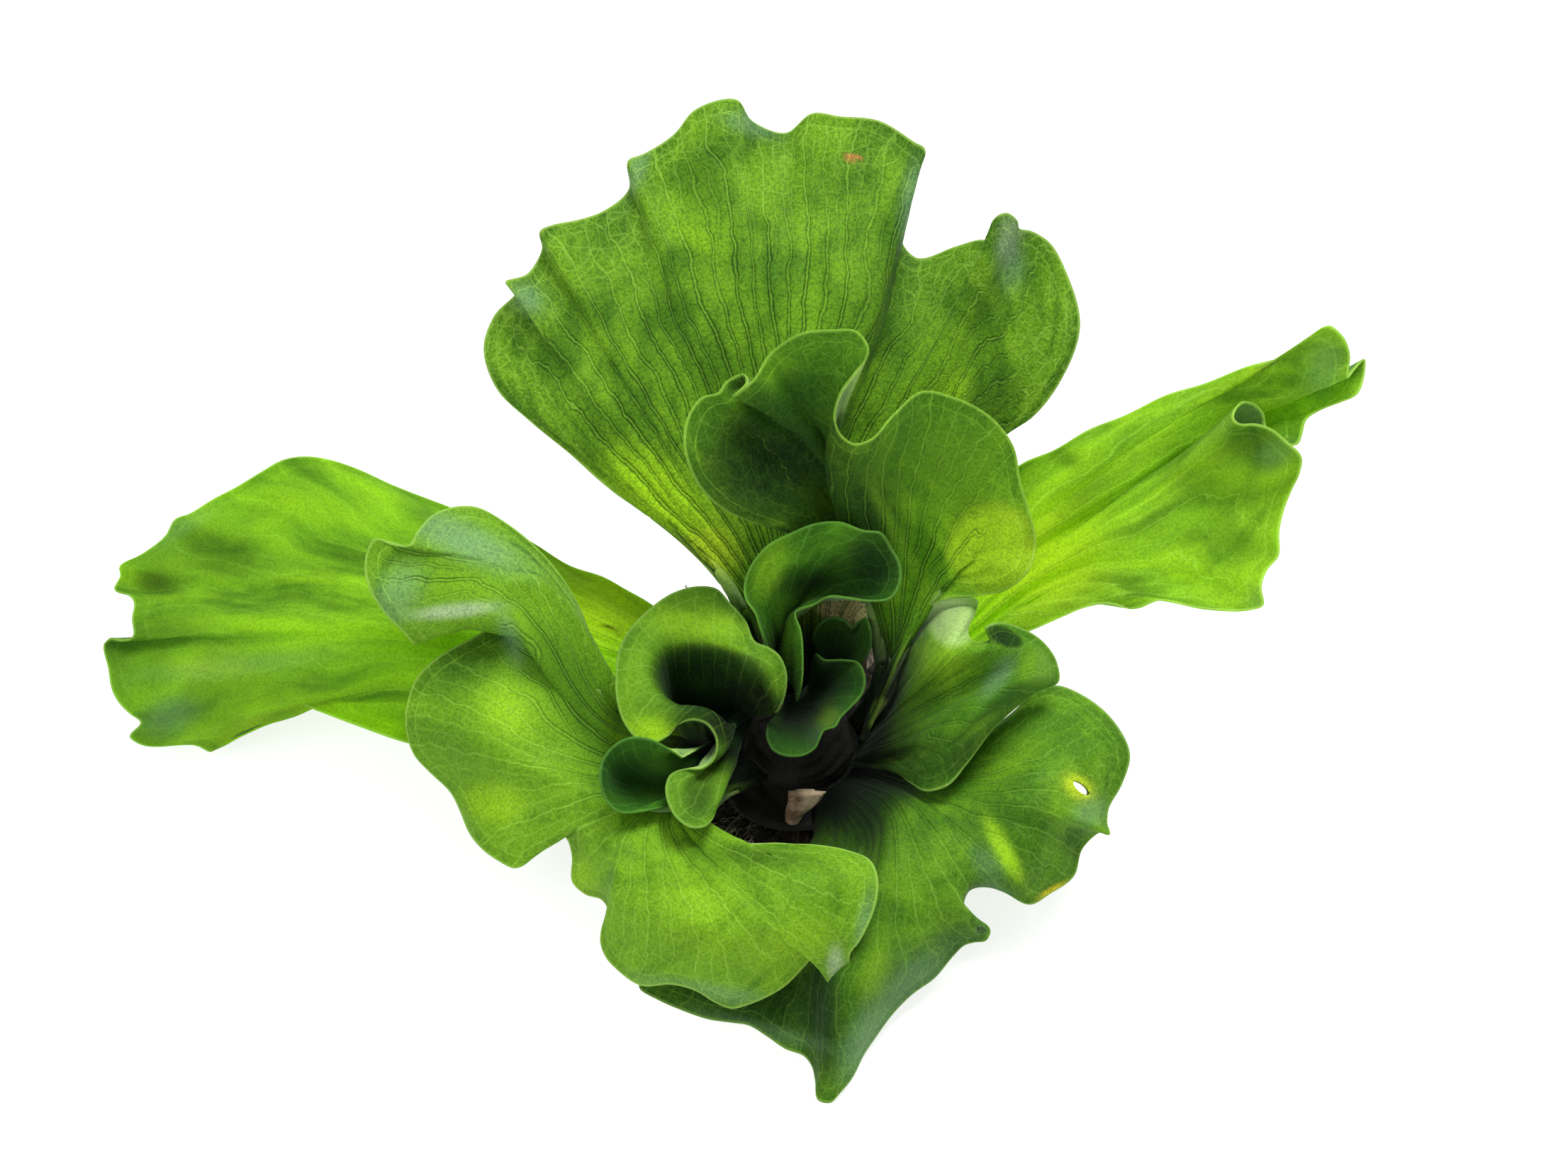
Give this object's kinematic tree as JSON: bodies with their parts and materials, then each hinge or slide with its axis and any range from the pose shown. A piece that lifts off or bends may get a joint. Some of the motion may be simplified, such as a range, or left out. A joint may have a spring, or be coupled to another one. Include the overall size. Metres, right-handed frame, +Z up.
{
  "type": "water lettuce",
  "caption": "Floating rosette plant with broad ruffled net-veined leaves on a short stem over a tuft of fine roots.",
  "frame": {"origin": "on the surface that the plant rests on, under the middle of the stem", "axes": "+X to the right in the pictured view, along the widest spread; +Y to the back, towards the tall fan leaf; +Z up along the stem"},
  "size_m": [0.145, 0.0972, 0.0594],
  "materials": {
    "stem": "dull, moist",
    "roots": "dull, fibrous",
    "back_leaf": "satin, finely haired, net-veined",
    "back_inner_leaf": "satin, finely haired, net-veined",
    "right_leaf": "satin, finely haired, ribbed",
    "left_leaf": "satin, finely haired, ribbed",
    "front_left_leaf": "satin, finely haired, net-veined",
    "front_right_leaf": "satin, finely haired, net-veined",
    "right_inner_leaf": "satin, finely haired, net-veined",
    "left_inner_leaf": "satin, finely haired, net-veined",
    "heart_leaf_back": "satin, finely haired",
    "heart_leaf_centre": "satin, finely haired",
    "heart_leaf_left": "satin, finely haired",
    "heart_leaf_small": "satin, finely haired",
    "old_leaf_base": "dull, papery"
  },
  "bodies": {
    "root": {"stem": "stem", "roots": "roots", "back_leaf": "back_leaf", "back_inner_leaf": "back_inner_leaf", "right_leaf": "right_leaf", "left_leaf": "left_leaf", "front_left_leaf": "front_left_leaf", "front_right_leaf": "front_right_leaf", "right_inner_leaf": "right_inner_leaf", "left_inner_leaf": "left_inner_leaf", "heart_leaf_back": "heart_leaf_back", "heart_leaf_centre": "heart_leaf_centre", "heart_leaf_left": "heart_leaf_left", "heart_leaf_small": "heart_leaf_small", "old_leaf_base": "old_leaf_base"}
  },
  "joints": []
}
